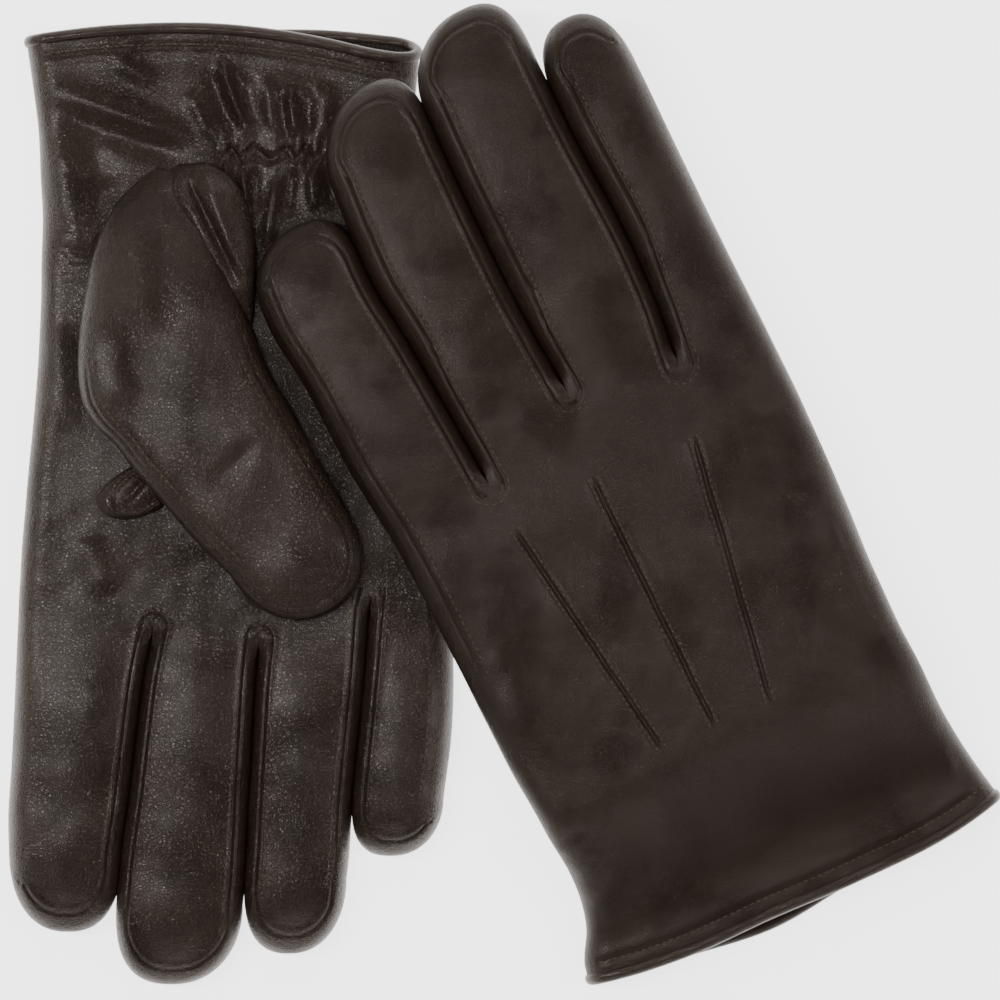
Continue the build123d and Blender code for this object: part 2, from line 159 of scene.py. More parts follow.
def softness(u, v, seed, shortest=15.0, longest=45.0):
    # Slow rises and dips: the mean of a few waves in different directions.
    chance = np.random.default_rng(seed)
    total = np.zeros(np.broadcast(u, v).shape)
    for _ in range(8):
        heading, length, phase = chance.uniform(0, pi), chance.uniform(shortest, longest), chance.uniform(0, 2 * pi)
        total = total + np.sin((u * cos(heading) + v * sin(heading)) * 2 * pi / length + phase)
    return total / 8


def nearLine(u, v, start, end):
    # Distance to the line between two points, and the share of the way along it.
    du, dv = end[0] - start[0], end[1] - start[1]
    share = np.clip(((u - start[0]) * du + (v - start[1]) * dv) / (du * du + dv * dv), 0, 1)
    return np.hypot(u - start[0] - share * du, v - start[1] - share * dv), share


def bump(distance, width):
    # A bell: 1 at no distance, e to the minus one at the width.
    return np.exp(-((distance / width) ** 2))


# Where each glove lies, worked out from its index finger's joint
anchors = {joint["child"]: joint["pos_m"] for joint in frame["joints"] if "pos_m" in joint}
for side, glove in gloves.items():
    angle = radians(glove["turn"])
    glove["turned"] = np.array([[cos(angle), -sin(angle)], [sin(angle), cos(angle)]])
    hinge = np.array(anchors[f"{side}_index"][:2]) / mm
    glove["origin"] = hinge - glove["turned"] @ np.array([glove["indexHinge"], hingeAt])
    print(side, "glove lies at", glove["origin"].round(1))


def laid(side, points):
    # Points of a glove's frame in metres on the table.
    glove = gloves[side]
    flat = points[..., :2] @ glove["turned"].T + glove["origin"]
    return np.concatenate([flat, points[..., 2:]], axis=-1) * mm


def middleHeight(side, v):
    # The left cuff lies on the table, and the glove rises from it on to the right palm.
    if side == "right":
        return np.full(np.shape(v), gloveHeight / 2)
    return gloveHeight / 2 + layLevel * smooth((np.asarray(v, float) - 6.0) / 38.0)


def slotDistance(side, u, v):
    # Distance in plan to the nearest slot between two fingers, measured round its end as well.
    nearest = np.full(np.broadcast(u, v).shape, 99.0)
    for knots, fork in zip(gloves[side]["slots"], gloves[side]["forks"]):
        beyond = np.maximum(v, fork)
        nearest = np.minimum(nearest, np.hypot(u - curve(beyond, knots), v - beyond))
    return nearest


def seamRelief(distance):
    # Across a seam: a fine groove, with the turned edge standing proud on the panel's side.
    return 0.3 * bump(distance - 0.75, 0.55) - 0.5 * bump(distance, 0.36)


def gatherRelief(u, v):
    # A pinched line along the elastic, zigzagged, with small pockets either side: sines of u, faded out over v.
    inside = smooth((gather["from"] - u) / 5) * smooth((u - gather["to"]) / 5)
    turn = u * 2 * pi / gather["pitch"]
    wander = 1.2 * np.sin(u * 0.31)
    zigzag = gather["row"] + gather["swing"] * np.sin(turn + wander)
    pinch = gather["pinch"] * bump(v - zigzag, gather["pinchWidth"])
    pockets = gather["pocket"] * np.sin(turn + 1.0 + wander) * bump(v - gather["row"], gather["pocketWidth"])
    return inside * (pockets - pinch)


def wristWrinkles(u, v):
    # Short wrinkles across the edge of the hand by the wrist: a wandering sine, 2.6 mm long, that comes and goes.
    across = smooth((u - 32) / 6) * smooth((50 - u) / 5)
    along = smooth((v - 22) / 8) * smooth((66 - v) / 10)
    wander = v + 5.0 * softness(u, v, 5, 6, 18)
    shown = smooth(softness(u, v, 9, 8, 20) * 4 + 0.5)
    return 0.09 * shown * across * along * np.sin(wander * 2 * pi / 2.6)


def pointRelief(u, v):
    # The leather swells beside each point and dips under its stitches.
    height = 0.0
    for foot, head in zip(points["feet"], points["heads"]):
        distance, share = nearLine(u, v, foot, head)
        ends = smooth(share / 0.04) * smooth((1 - share) / 0.04)
        dip = points["groove"] * bump(distance - points["stitchOff"], points["grooveWidth"])
        height = height + ends * (points["swell"] * bump(distance, points["swellWidth"]) - dip)
    return height


def edgeSeamRelief(edge, v):
    # A groove with a proud edge either side, over the part of the edge that is sewn.
    sewn = smooth((v - 84) / 10) * smooth((206 - v) / 8)
    inward = edgeSeam["in"]
    groove = 0.4 * bump(edge - inward - 0.8, 0.6) - 0.5 * bump(edge - inward, 0.45)
    return sewn * (groove + 0.25 * bump(edge - 2.2, 0.5))


def topRelief(side, u, v):
    # How far the face that shows stands above its plain height: slow swells, small ripples, folds and seams.
    glove = gloves[side]
    height = 0.45 * softness(u, v, 3 if side == "right" else 8) + 0.07 * softness(u, v, 21, 5.0, 13.0)
    for uA, vA, uB, vB, width, rise in folds[side]:
        distance, share = nearLine(u, v, (uA, vA), (uB, vB))
        height = height + 1.25 * rise * bump(distance, width) * smooth(share / 0.3) * smooth((1 - share) / 0.3)
    if side == "right":
        height = height + gatherRelief(u, v) + wristWrinkles(u, v)
    else:
        height = height + pointRelief(u, v) + edgeSeamRelief(u - curve(v, glove["low"]), v)
    # the row of stitches behind the cuff's binding pulls the leather down a little
    behind = v - curve(u, glove["cuffTop"]) - cuffRow["in"]
    dip = cuffRow["dip"] * bump(behind - 0.1, cuffRow["dipWidth"])
    return height - dip + cuffRow["rise"] * bump(behind - 2.1, cuffRow["riseWidth"])


def underRelief(side, u, v):
    # The hidden face sags a little, in slow swells.
    return 0.25 * softness(u, v, 14 if side == "right" else 17) - 0.5


ringSides = 39


def ringPlan(topCount, underCount, sideCount=ringSides):
    # For each point round a section: its share across the flat, and the direction that the skin faces there.
    share = np.concatenate([np.linspace(0, 1, topCount), np.ones(sideCount), np.linspace(1, 0, underCount),
                            np.zeros(sideCount)])
    arc = np.linspace(0, pi, sideCount + 2)[1:-1]
    facing = np.concatenate([np.zeros(topCount), arc, np.full(underCount, pi), arc + pi])
    return share, facing


def sectionPoints(low, high, middle, half, reach, joined, plan, inset=0.0):
    # Points round each section: level above and below, an elliptical arc of the given reach at each side. A side
    # that is joined to its neighbour (0 free, 1 joined) runs out square instead. Returns u, z, and the facing.
    share, facing = plan
    low, high, middle, half = (np.asarray(part, float).reshape(-1, 1) for part in (low, high, middle, half))
    low, high, half = low + inset, high - inset, half - inset
    reachLow, reachHigh = (np.minimum(np.asarray(part, float).reshape(-1, 1), (high - low) * 0.42) for part in reach)
    joinedLow, joinedHigh = (np.asarray(part, float).reshape(-1, 1) for part in joined)
    across = low + reachLow + share * (high - reachHigh - low - reachLow)
    onHigh = (facing > 0) & (facing < pi)
    onLow = facing > pi
    roundU = across + np.where(onHigh, reachHigh, reachLow) * np.sin(facing)
    roundZ = half * np.cos(facing)
    turnShare = np.where(onLow, facing - pi, facing) / pi
    out = np.interp(turnShare, [0, 0.3, 0.7, 1], [0, 1, 1, 0])
    drop = np.interp(turnShare, [0, 0.3, 0.7, 1], [1, 1, -1, -1])
    squareU = across + np.where(onHigh, reachHigh * out, 0) - np.where(onLow, reachLow * out, 0)
    squareZ = half * np.where(onHigh, drop, np.where(onLow, -drop, np.cos(facing)))
    keep = np.where(onHigh, joinedHigh, np.where(onLow, joinedLow, 0.0))
    return roundU + (squareU - roundU) * keep, middle + roundZ + (squareZ - roundZ) * keep


def asMesh(name, points, faces, material):
    # A mesh at the origin from points in metres, with its faces turned outwards.
    mesh = bpy.data.meshes.new(name)
    mesh.from_pydata(points.tolist(), [], faces)
    mesh.calc_loop_triangles()
    corners = np.empty(len(mesh.loop_triangles) * 3, int)
    mesh.loop_triangles.foreach_get("vertices", corners)
    a, b, c = (points[corners.reshape(-1, 3)[:, i]] for i in range(3))
    if np.einsum("ij,ij->i", a, np.cross(b, c)).sum() < 0:  # six times the volume
        mesh.flip_normals()
    mesh.polygons.foreach_set("use_smooth", np.ones(len(mesh.polygons), bool))
    mesh.set_sharp_from_angle(angle=radians(58))
    mesh.materials.append(material)
    piece = bpy.data.objects.new(name, mesh)
    bpy.context.scene.collection.objects.link(piece)
    return piece


def ringFaces(rows, columns):
    # Quads between neighbouring rings, and a fan of triangles to a point past each end.
    row, column = np.meshgrid(np.arange(rows - 1), np.arange(columns), indexing="ij")
    nextColumn = (column + 1) % columns
    quads = np.stack([row * columns + column, row * columns + nextColumn,
                      (row + 1) * columns + nextColumn, (row + 1) * columns + column], axis=-1).reshape(-1, 4)
    ring = np.arange(columns)
    after = (ring + 1) % columns
    first, last = rows * columns, rows * columns + 1
    start = np.stack([np.full(columns, first), after, ring], axis=-1)
    end = np.stack([np.full(columns, last), ring + (rows - 1) * columns, after + (rows - 1) * columns], axis=-1)
    return quads.tolist() + start.tolist() + end.tolist()


def ringPiece(name, side, rings, material, endPoint=None):
    # A closed piece from rings of points in a glove's frame.
    rows, columns, _ = rings.shape
    start = rings[0].mean(axis=0)
    end = rings[-1].mean(axis=0) if endPoint is None else np.array(endPoint, float)
    points = np.concatenate([rings.reshape(-1, 3), [start], [end]])
    return asMesh(name, laid(side, points), ringFaces(rows, columns), material)


# One stitch: a small rounded bar along x
def stitchBar():
    points = [(-0.5, 0.0, 0.0)]
    for x, size in ((-0.36, 0.8), (0.0, 1.0), (0.36, 0.8)):
        for step in range(6):
            points.append((x, 0.5 * size * cos(step * pi / 3), 0.5 * size * sin(step * pi / 3)))
    points.append((0.5, 0.0, 0.0))
    faces = [(0, 1 + (step + 1) % 6, 1 + step) for step in range(6)]
    for ring in (0, 1):
        a, b = 1 + 6 * ring, 7 + 6 * ring
        faces += [(a + step, a + (step + 1) % 6, b + (step + 1) % 6, b + step) for step in range(6)]
    faces += [(19, 13 + step, 13 + (step + 1) % 6) for step in range(6)]
    return np.array(points), faces


barPoints, barFaces = stitchBar()


stitch = {"pitch": 1.9, "length": 1.3, "width": 0.56, "height": 0.5}


def stitchPiece(name, side, rows, material, pitch=stitch["pitch"], length=stitch["length"]):
    # Rows of stitches. Each row is a line of points on the leather with the direction its surface faces.
    allPoints, allFaces, made = [], [], 0
    for line, facing in rows:
        step = np.linalg.norm(np.diff(line, axis=0), axis=1)
        run = np.concatenate([[0], np.cumsum(step)])
        count = int(run[-1] / pitch)
        if count < 1:
            continue
        at = (np.arange(count) + 0.5) * run[-1] / count
        centre = np.stack([np.interp(at, run, line[:, i]) for i in range(3)], axis=1)
        ahead = np.stack([np.interp(at + 0.3, run, line[:, i]) for i in range(3)], axis=1)
        behind = np.stack([np.interp(at - 0.3, run, line[:, i]) for i in range(3)], axis=1)
        tangent = ahead - behind
        tangent /= np.linalg.norm(tangent, axis=1, keepdims=True)
        normal = np.stack([np.interp(at, run, facing[:, i]) for i in range(3)], axis=1)
        normal -= tangent * np.einsum("ij,ij->i", normal, tangent)[:, None]
        normal /= np.linalg.norm(normal, axis=1, keepdims=True)
        sideways = np.cross(normal, tangent)
        bars = (centre[:, None] + tangent[:, None] * barPoints[None, :, :1] * length
                + sideways[:, None] * barPoints[None, :, 1:2] * stitch["width"]
                + normal[:, None] * barPoints[None, :, 2:] * stitch["height"])
        allPoints.append(bars.reshape(-1, 3))
        for index in range(count):
            offset = (made + index) * len(barPoints)
            allFaces += [tuple(offset + corner for corner in face) for face in barFaces]
        made += count
    return asMesh(name, laid(side, np.concatenate(allPoints)), allFaces, material)


# Materials
class Signal:
    # A socket's value, for plain arithmetic.

    def __init__(self, tree, socket):
        self.tree, self.socket = tree, socket

    def maths(self, operation, *others):
        node = self.tree.nodes.new("ShaderNodeMath")
        node.operation = operation
        for slot, value in enumerate((self, *others)):
            if isinstance(value, Signal):
                self.tree.links.new(value.socket, node.inputs[slot])
            else:
                node.inputs[slot].default_value = value
        return Signal(self.tree, node.outputs[0])

    def __add__(self, other):
        return self.maths("ADD", other)

    __radd__ = __add__

    def __mul__(self, other):
        return self.maths("MULTIPLY", other)

    __rmul__ = __mul__

    def __sub__(self, other):
        return self.maths("SUBTRACT", other)

    def __rsub__(self, other):
        return (self * -1.0) + other

    def step(self, start, end):
        # 0 below start, 1 above end, smooth between.
        share = (self - start) * (1.0 / (end - start))
        share = share.maths("MAXIMUM", 0.0).maths("MINIMUM", 1.0)
        return share * share * (3.0 - 2.0 * share)


class Surface:
    # A material being built around one Principled shader.

    def __init__(self, name, **constants):
        self.material = bpy.data.materials.new(name)
        self.material.use_nodes = True
        self.tree = self.material.node_tree
        self.tree.nodes.clear()
        self.shader = self.node("ShaderNodeBsdfPrincipled")
        self.node("ShaderNodeOutputMaterial", sockets={"Surface": self.shader.outputs[0]})
        for key, value in constants.items():
            self.shader.inputs[key.replace("_", " ")].default_value = value
        self.place = self.node("ShaderNodeTexCoord").outputs["Object"]

    # Any node: its type, its settings, and the values or links of its sockets
    def node(self, kind, settings=None, sockets=None):
        made = self.tree.nodes.new(kind)
        for key, value in (settings or {}).items():
            setattr(made, key, value)
        for key, value in (sockets or {}).items():
            value = value.socket if isinstance(value, Signal) else value
            if isinstance(value, bpy.types.NodeSocket):
                self.tree.links.new(value, made.inputs[key])
            else:
                made.inputs[key].default_value = value
        return made

    def noise(self, scale, detail=3.0, roughness=0.55, distortion=0.0, place=None):
        made = self.node("ShaderNodeTexNoise", sockets={
            "Vector": place or self.place, "Scale": scale, "Detail": detail, "Roughness": roughness,
            "Distortion": distortion})
        return Signal(self.tree, made.outputs["Fac"])

    def cells(self, scale, feature="DISTANCE_TO_EDGE", place=None):
        made = self.node("ShaderNodeTexVoronoi", {"feature": feature},
                         {"Vector": place or self.place, "Scale": scale, "Randomness": 1.0})
        return Signal(self.tree, made.outputs["Distance"])

    def blend(self, share, a, b):
        made = self.node("ShaderNodeMix", {"data_type": "RGBA"})
        for slot, value in ((0, share), (6, a), (7, b)):
            value = value.socket if isinstance(value, Signal) else value
            if isinstance(value, bpy.types.NodeSocket):
                self.tree.links.new(value, made.inputs[slot])
            else:
                made.inputs[slot].default_value = value
        return made.outputs[2]

    def stretched(self, scale):
        return self.node("ShaderNodeVectorMath", {"operation": "MULTIPLY"},
                         {0: self.place, 1: scale}).outputs[0]

    def raised(self, height, distance, strength=1.0, onto=None):
        sockets = {"Height": height, "Distance": distance, "Strength": strength}
        if onto is not None:
            sockets["Normal"] = onto
        return self.node("ShaderNodeBump", sockets=sockets).outputs[0]

    def feed(self, key, value):
        value = value.socket if isinstance(value, Signal) else value
        self.tree.links.new(value, self.shader.inputs[key])


def leatherMaterial(name, lookWithPaintedLight):
    # Nappa: fine pebbled grain, deeper where the skin is creased, with slow changes of tone and of gloss. For the
    # gloves, the dark and light tones given carry painted light: lighter on the right glove, as if lit, and darker on
    # the left, as if shaded.
    skin = Surface(name, Specular_IOR_Level=lookWithPaintedLight["specular"], Specular_Tint=(1.0, 0.86, 0.76, 1.0),
                   Coat_Roughness=lookWithPaintedLight["coatRoughness"])
    slow = skin.noise(30.0, 2.0, 0.5, 0.3)
    patches = skin.noise(150.0, 3.0, 0.6)
    tone = skin.blend(slow.step(0.3, 0.7), lookWithPaintedLight["dark"], lookWithPaintedLight["light"])
    tone = skin.blend(patches.step(0.48, 0.74) * 0.4, tone, lookWithPaintedLight["warm"])
    fine, coarse = skin.cells(lookWithPaintedLight["grain"]), skin.cells(lookWithPaintedLight["grain"] * 0.52)
    grain = fine.step(0.0, 0.17) * 0.55 + coarse.step(0.0, 0.11) * 0.45
    fibres = skin.noise(5200.0, 2.0, 0.6)
    creased = skin.noise(60.0, 2.0, 0.5).step(0.42, 0.68)
    wrinkles = skin.noise(520.0, 4.0, 0.62, 1.2)
    tone = skin.blend((1.0 - grain) * lookWithPaintedLight["grainDark"], tone, lookWithPaintedLight["groove"])
    skin.feed("Base Color", tone)
    skin.feed("Roughness", (patches - 0.5) * 0.06 + (1.0 - grain) * 0.16 + creased * 0.03 + lookWithPaintedLight["rough"])
    skin.feed("Coat Weight", (1.0 - creased) * 0.05 + lookWithPaintedLight["coat"])
    pebbled = skin.raised(grain * (0.6 + creased * 0.6) + fibres * 0.12, lookWithPaintedLight["grainDepth"])
    skin.feed("Normal", skin.raised(wrinkles * (0.35 + creased * 0.65), lookWithPaintedLight["wrinkle"], 1.0, pebbled))
    return skin.material


threadTones = {"dark": (0.042, 0.0265, 0.0165, 1), "light": (0.098, 0.066, 0.043, 1)}


def threadMaterial():
    # Twisted thread: stretched noise for its tone, roughness and bump.
    thread = Surface("threadMaterial", Specular_IOR_Level=0.4)
    twist = thread.noise(3800.0, 2.0, 0.6, place=thread.stretched((1.0, 2.6, 1.0)))
    thread.feed("Base Color", thread.blend(twist.step(0.35, 0.65), threadTones["dark"], threadTones["light"]))
    thread.feed("Roughness", 0.5 + twist * 0.25)
    thread.feed("Normal", thread.raised(twist, 0.00008))
    return thread.material


def liningMaterial():
    # Knit: soft ribs from a wave, with fuzz from fine noise.
    knit = Surface("liningMaterial", Specular_IOR_Level=0.2)
    columns = knit.node("ShaderNodeTexWave", {"wave_type": "BANDS", "bands_direction": "X"},
                        {"Vector": knit.place, "Scale": 260.0, "Distortion": 1.2, "Detail": 2.0, "Detail Scale": 3.0})
    rib = Signal(knit.tree, columns.outputs["Fac"])
    fuzz = knit.noise(2600.0, 3.0, 0.7)
    knit.feed("Base Color", knit.blend(rib * 0.6 + fuzz * 0.4, (0.010, 0.0085, 0.0075, 1), (0.036, 0.029, 0.024, 1)))
    knit.feed("Roughness", 0.82 + fuzz * 0.15)
    knit.feed("Normal", knit.raised(rib * 0.7 + fuzz * 0.3, 0.00025))
    return knit.material


# Settings for each leather. Both gloves are one leather. The right glove's tones are painted lighter, as painted light
# where its palm catches the light, and the left glove's are darker, as painted shade. Their gloss, coat and grain
# differ as the palm's finish and the back's. The binding's tones are its own.
looksWithPaintedLight = {
    "right": {
        "dark": (0.015, 0.006, 0.0026, 1), "light": (0.0195, 0.0084, 0.0038, 1),
        "warm": (0.018, 0.0086, 0.0031, 1), "groove": (0.007, 0.0028, 0.0012, 1), "rough": 0.31, "coat": 0.1,
        "coatRoughness": 0.29, "specular": 0.5, "grain": 1400.0, "grainDark": 0.75, "grainDepth": 0.00034,
        "wrinkle": 0.0001,
    },
    "left": {
        "dark": (0.012, 0.0049, 0.0021, 1), "light": (0.0155, 0.0067, 0.003, 1),
        "warm": (0.0145, 0.0072, 0.0026, 1), "groove": (0.008, 0.0033, 0.0015, 1), "rough": 0.36, "coat": 0.04,
        "coatRoughness": 0.32, "specular": 0.42, "grain": 2000.0, "grainDark": 0.5, "grainDepth": 0.00016,
        "wrinkle": 0.00014,
    },
    "binding": {
        "dark": (0.0125, 0.0054, 0.0027, 1), "light": (0.0165, 0.0075, 0.0038, 1),
        "warm": (0.015, 0.0076, 0.0033, 1), "groove": (0.0075, 0.0032, 0.0015, 1), "rough": 0.28, "coat": 0.1,
        "coatRoughness": 0.26, "specular": 0.5, "grain": 2400.0, "grainDark": 0.3, "grainDepth": 0.0001,
        "wrinkle": 0.00012,
    },
}
# one copy of the leather per glove: the right one painted lighter as if lit, the left one darker as if shaded
leather = {side: leatherMaterial(f"{side}LeatherMaterial", looksWithPaintedLight[side]) for side in gloves}
rolledLeather = leatherMaterial("bindingMaterial", looksWithPaintedLight["binding"])
thread = threadMaterial()
lining = liningMaterial()
print("materials ready")


# Hand: one skin from the split line, where the fingers go on, to the cuff, and back in behind it
def cuffShift(side, u, v, onTop):
    # The cuff's edge isn't straight: rows near it follow its line, a different one above and below.
    glove = gloves[side]
    line = curve(u, glove["cuffTop"]) * onTop + curve(u, glove["cuffUnder"]) * (1 - onTop)
    return (line + 1.2) * (1 - smooth(v / 34.0))


def handRings(side, rows, plan, inset=0.0, relief=True):
    # Rings of the hand at these distances from the cuff.
    glove = gloves[side]
    rows = np.asarray(rows, float)
    low, high = curve(rows, glove["low"]), curve(rows, glove["high"])
    half = np.full(rows.shape, gloveHeight / 2)
    reach = np.full(rows.shape, 6.5)
    free = np.zeros(rows.shape)
    u, z = sectionPoints(low, high, middleHeight(side, rows), half, (reach, reach), (free, free), plan, inset)
    facing = plan[1]
    v = np.repeat(rows[:, None], len(facing), axis=1)
    onTop = 0.5 + 0.5 * np.cos(facing)
    shifted = v + cuffShift(side, u, v, onTop[None, :])
    # where the cuff moves along the droop, the height follows
    z = z + middleHeight(side, np.maximum(shifted, 0)) - middleHeight(side, v)
    if relief:
        rise = topRelief(side, u, shifted) * np.clip(np.cos(facing), 0, 1)
        rise = rise - underRelief(side, u, shifted) * np.clip(-np.cos(facing), 0, 1)
        fade = 1 if inset == 0 else 0.6
        settled = smooth(v / 4.0)
        z = z + rise * fade * settled
        u = u + np.sin(facing) * 0.35 * softness(u * 0, shifted, 31, 12, 30)
    return np.stack([u, shifted, z], axis=-1)


def handSkin(side):
    # Rings from the split line to the cuff, then back in behind it one wall further in.
    glove = gloves[side]
    plan = ringPlan(236, 60)
    outer = handRings(side, np.arange(glove["split"], 0, -0.62).tolist() + [0.0], plan)
    inner = handRings(side, np.linspace(0.4, 40, 22), plan, inset=wall)
    rings = np.concatenate([outer, inner])
    piece = ringPiece(f"{side}HandSkin", side, rings, leather[side])
    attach(piece, f"{side}_hand")
    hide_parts(f"{side}_hand_leather")
    return piece


def cuffLining(side):
    # A knitted pocket inside the hand, seen at the cuff's mouth.
    plan = ringPlan(60, 60, 20)
    outside = handRings(side, np.linspace(120, 0.8, 50), plan, inset=wall + 0.08)
    inside = handRings(side, np.linspace(0.8, 116, 60), plan, inset=wall + liningWall)
    piece = ringPiece(f"{side}CuffLining", side, np.concatenate([outside, inside]), lining)
    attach(piece, f"{side}_hand")
    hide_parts(f"{side}_hand_lining", f"{side}_wrist_elastic")
    return piece


roll = {"halfLength": 1.65, "halfThrough": 1.45, "inset": 0.75, "columns": 20, "beyondCuff": 0.2}


def cuffRoll(side):
    # The binding: a flattened round profile carried round the cuff's edge, a little uneven along it.
    path = handRings(side, [0.0], ringPlan(150, 150, 30), inset=roll["inset"], relief=False)[0]
    count, columns = len(path), roll["columns"]
    tangent = np.roll(path, -1, axis=0) - np.roll(path, 1, axis=0)
    tangent /= np.maximum(np.linalg.norm(tangent, axis=1, keepdims=True), 1e-9)
    along = np.zeros_like(path)
    along[:, 1] = 1.0
    outward = np.cross(tangent, along)
    outward /= np.maximum(np.linalg.norm(outward, axis=1, keepdims=True), 1e-9)
    turn = np.linspace(0, 2 * pi, columns, endpoint=False)
    roundCuff = np.arange(count) * 2 * pi / count
    wave = 1 + 0.05 * np.sin(roundCuff * 14) + 0.04 * np.sin(roundCuff * 37)
    rings = (path[:, None] + along[:, None] * (roll["halfLength"] * np.cos(turn))[None, :, None]
             + outward[:, None] * (roll["halfThrough"] * np.sin(turn))[None, :, None] * wave[:, None, None])
    rings[..., 1] -= roll["beyondCuff"]
    rings[..., 2] = np.maximum(rings[..., 2], tableClear)  # flat where it lies on the table
    row, column = np.meshgrid(np.arange(count), np.arange(columns), indexing="ij")
    nextRow, nextColumn = (row + 1) % count, (column + 1) % columns
    faces = np.stack([row * columns + column, row * columns + nextColumn,
                      nextRow * columns + nextColumn, nextRow * columns + column], axis=-1).reshape(-1, 4).tolist()
    piece = asMesh(f"{side}CuffRoll", laid(side, rings.reshape(-1, 3)), faces, rolledLeather)
    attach(piece, f"{side}_hand")
    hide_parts(f"{side}_cuff_binding")
    return piece


def onTopOfHand(side, u, v, sink=0.05):
    # Points on the hand's upper face, with the direction it faces.
    u, v = np.asarray(u, float), np.asarray(v, float)
    glove = gloves[side]
    edge = np.minimum(u - curve(v, glove["low"]), curve(v, glove["high"]) - u)
    slope = np.clip(1 - edge / 6.5, 0, 1)
    rounded = np.sqrt(1 - slope**2)
    z = middleHeight(side, np.maximum(v, 0)) + gloveHeight / 2 * rounded + topRelief(side, u, v) * rounded - sink
    facing = np.stack([np.zeros(u.shape), np.zeros(u.shape), np.ones(u.shape)], axis=-1)
    return np.stack([u, v, z], axis=-1), facing


def cuffStitches(side):
    # One row above and one below, each following its own edge of the cuff.
    glove = gloves[side]
    low, high = curve(3.0, glove["low"]), curve(3.0, glove["high"])
    u = np.linspace(low + cuffRow["fromSides"], high - cuffRow["fromSides"], 220)
    top = onTopOfHand(side, u, curve(u, glove["cuffTop"]) + cuffRow["in"])
    under, facing = onTopOfHand(side, u, curve(u, glove["cuffUnder"]) + cuffRow["in"])
    under = under.copy()
    under[:, 2] = middleHeight(side, under[:, 1]) - gloveHeight / 2 + 0.42
    piece = stitchPiece(f"{side}CuffStitches", side, [top, (under, -facing)], thread)
    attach(piece, f"{side}_hand")
    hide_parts(f"{side}_cuff_stitching")


def backPoints(side):
    # Each point is a pinched ridge: a narrow rounded profile that swells up from both ends, with stitches beside.
    ridges, rows = [], []
    columns = 14
    turn = np.linspace(0, 2 * pi, columns, endpoint=False)
    upward = 1.0 if side == "left" else -1.0
    for number, (foot, head) in enumerate(zip(points["feet"], points["heads"])):
        share = np.linspace(0, 1, 150)
        u, v = foot[0] + (head[0] - foot[0]) * share, foot[1] + (head[1] - foot[1]) * share
        u = u + 0.18 * softness(u * 0, v, 40 + number, 9, 24)
        if side == "left":
            line, _ = onTopOfHand(side, u, v, 0.0)
        else:
            line = np.stack([u, v, np.full(u.shape, 0.55)], axis=-1)
        swell = smooth(share / 0.05) * smooth((1 - share) / 0.05) * 0.92 + 0.08
        width = points["halfWidth"] * (1 + 0.10 * np.sin(share * 2 * pi * 46))
        ridges.append(np.stack([line[:, None, 0] + (width * swell)[:, None] * np.cos(turn),
                                np.repeat(line[:, 1:2], columns, axis=1),
                                line[:, None, 2] + upward * points["height"] * swell[:, None] * np.sin(turn)], axis=-1))
        for offset in (-points["stitchOff"], points["stitchOff"]):
            beside = onTopOfHand(side, u + offset, v, 0.02)
            if side == "right":
                beside = (np.stack([u + offset, v, np.full(u.shape, 0.52)], axis=-1), -beside[1])
            rows.append(beside)
    corners, faces = [], []
    for ridge in ridges:
        first = sum(len(part) for part in corners)
        corners.append(np.concatenate([ridge.reshape(-1, 3), [ridge[0].mean(axis=0)], [ridge[-1].mean(axis=0)]]))
        faces += [tuple(first + corner for corner in face) for face in ringFaces(len(ridge), columns)]
    ridge = asMesh(f"{side}PointRidges", laid(side, np.concatenate(corners)), faces, leather[side])
    stitches = stitchPiece(f"{side}PointStitches", side, rows, thread, points["pitch"], points["stitchLength"])
    for piece, node, slotName in ((ridge, "back_points", "leather"), (stitches, "point_stitching", "thread")):
        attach(piece, f"{side}_hand")
        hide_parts(f"{side}_{node}")


def sideSeam(side):
    # A row a fixed distance in from the little finger's edge.
    glove = gloves[side]
    v = np.linspace(edgeSeam["from"][side], glove["split"], 120)
    line = onTopOfHand(side, curve(v, glove["low"]) + edgeSeam["in"] + edgeSeam["stitchOff"], v, 0.03)
    piece = stitchPiece(f"{side}SideStitches", side, [line], thread)
    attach(piece, f"{side}_hand")
    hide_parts(f"{side}_side_seam")


# Fingers
fingers = {
    "crown": {"right": 1.9, "left": 1.0}, "ripple": 0.10, "capPower": 2.35,
    "wideFrom": 150, "wideOver": 25,  # where the left side strips get wider
    "bend": (158.0, 173.0),  # from and to, in the glove
}


def fingerEdges(side, name, v):
    # A finger's edges in plan: half a slot's gap off the slot's line, or the hand's outline.
    glove, number = gloves[side], fingerNames.index(name)
    edges = [glove["low"], *glove["slots"], glove["high"]]
    low, high = curve(v, edges[number]), curve(v, edges[number + 1])
    if number > 0:
        low = low + slotGap / 2 * smooth((v - glove["forks"][number - 1]) / 5)
    if number < 3:
        high = high - slotGap / 2 * smooth((v - glove["forks"][number]) / 5)
    return low, high


